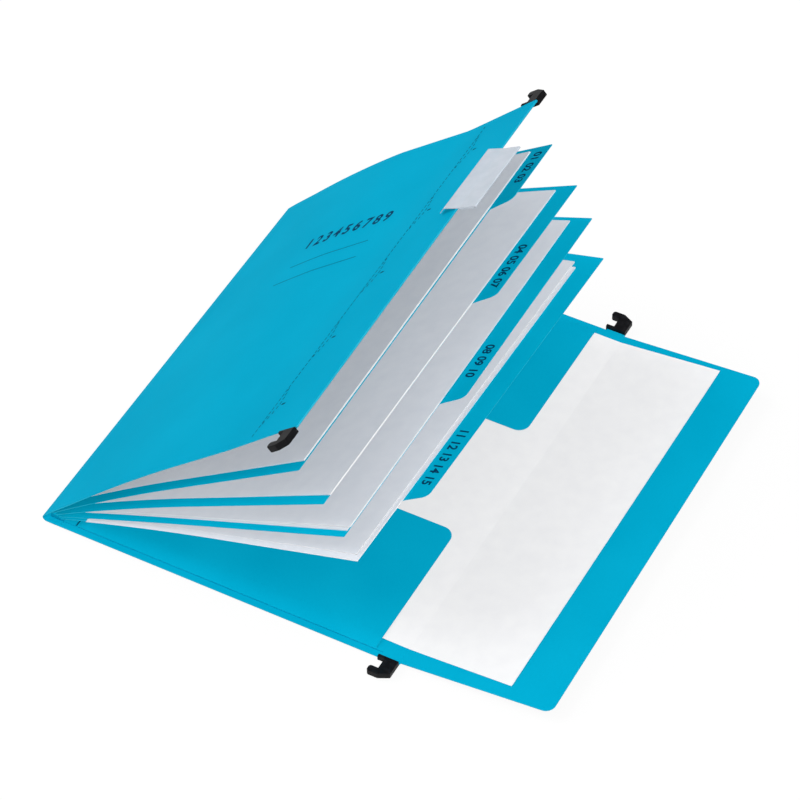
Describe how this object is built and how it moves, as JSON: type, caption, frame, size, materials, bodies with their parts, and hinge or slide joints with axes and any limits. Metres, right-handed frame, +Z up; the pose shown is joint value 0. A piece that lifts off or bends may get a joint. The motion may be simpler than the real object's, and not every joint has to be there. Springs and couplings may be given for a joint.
{
  "type": "hanging file folder",
  "caption": "Hanging file folder of coloured card, lying open, with hooked rails on both covers, tabbed dividers with filed sheets, a pocket and a folding index flap.",
  "frame": {"origin": "centre of the footprint on the surface that the folder lies on", "axes": "+X from the spine out to the index flap, +Y along the spine, +Z up from the rear cover"},
  "size_m": [0.3608, 0.348, 0.1935],
  "materials": {
    "card_blue": "dyed card",
    "paper_white": "matt office paper",
    "hook_black": "satin moulded plastic",
    "rail_steel": "rolled strip",
    "fastener_steel": "thin plated strip",
    "label_clear": "clear plastic",
    "label_paper": "matt paper insert"
  },
  "bodies": {
    "rear": {"rear_cover": "card_blue", "spine_fold": "card_blue", "binding_strip": "card_blue", "inner_board": "card_blue", "pocket": "card_blue", "pocket_sheet": "paper_white", "rear_rail": "rail_steel", "rear_sleeve": "card_blue", "rear_hook_near": "hook_black", "rear_hook_far": "hook_black"},
    "flap": {"index_flap": "card_blue", "pocket_sheet_end": "paper_white"},
    "front": {"front_cover": "card_blue", "front_rail": "rail_steel", "front_sleeve": "card_blue", "front_hook_near": "hook_black", "front_hook_far": "hook_black", "label_holder": "label_clear"},
    "label": {"label_insert": "label_paper"},
    "leaf_1": {"divider_1": "card_blue", "sheet_1": "paper_white", "keeper_1": "fastener_steel", "tongue_strip_1": "fastener_steel"},
    "leaf_2": {"divider_2": "card_blue", "sheet_2": "paper_white", "keeper_2": "fastener_steel", "tongue_strip_2": "fastener_steel"},
    "leaf_3": {"divider_3": "card_blue", "sheet_3": "paper_white", "sheet_3_under": "paper_white", "keeper_3": "fastener_steel", "tongue_strip_3": "fastener_steel"},
    "leaf_4": {"divider_4": "card_blue", "sheet_4": "paper_white", "sheet_4_under": "paper_white", "keeper_4": "fastener_steel", "tongue_strip_4": "fastener_steel"}
  },
  "joints": [
    {"name": "front_cover_fold", "type": "hinge", "parent": "rear", "child": "front", "pos_m": [-0.17781, 0, 0.0052], "axis": [0, -1, 0], "range_deg": [-32, 137]},
    {"name": "divider_1_fold", "type": "hinge", "parent": "rear", "child": "leaf_1", "pos_m": [-0.17561, 0, 0.00505], "axis": [0, -1, 0], "range_deg": [-27.08, 115.59]},
    {"name": "divider_2_fold", "type": "hinge", "parent": "rear", "child": "leaf_2", "pos_m": [-0.17341, 0, 0.0045], "axis": [0, -1, 0], "range_deg": [-22.05, 94.07]},
    {"name": "divider_3_fold", "type": "hinge", "parent": "rear", "child": "leaf_3", "pos_m": [-0.17121, 0, 0.0038], "axis": [0, -1, 0], "range_deg": [-17.47, 74.45]},
    {"name": "divider_4_fold", "type": "hinge", "parent": "rear", "child": "leaf_4", "pos_m": [-0.16901, 0, 0.003], "axis": [0, -1, 0], "range_deg": [-15.1, 64.33]},
    {"name": "flap_crease", "type": "hinge", "parent": "rear", "child": "flap", "pos_m": [0.07879, 0, 0.0011], "axis": [0, -1, 0], "range_deg": [-5, 55]},
    {"name": "label_slide", "type": "slide", "parent": "front", "child": "label", "axis": [0, 1, 0], "range_m": [0, 0.055]}
  ],
  "couplings": [
    {"joint": "divider_1_fold", "follows": "front_cover_fold", "ratio": 0.843},
    {"joint": "divider_2_fold", "follows": "front_cover_fold", "ratio": 0.6859},
    {"joint": "divider_3_fold", "follows": "front_cover_fold", "ratio": 0.5427},
    {"joint": "divider_4_fold", "follows": "front_cover_fold", "ratio": 0.4688}
  ]
}
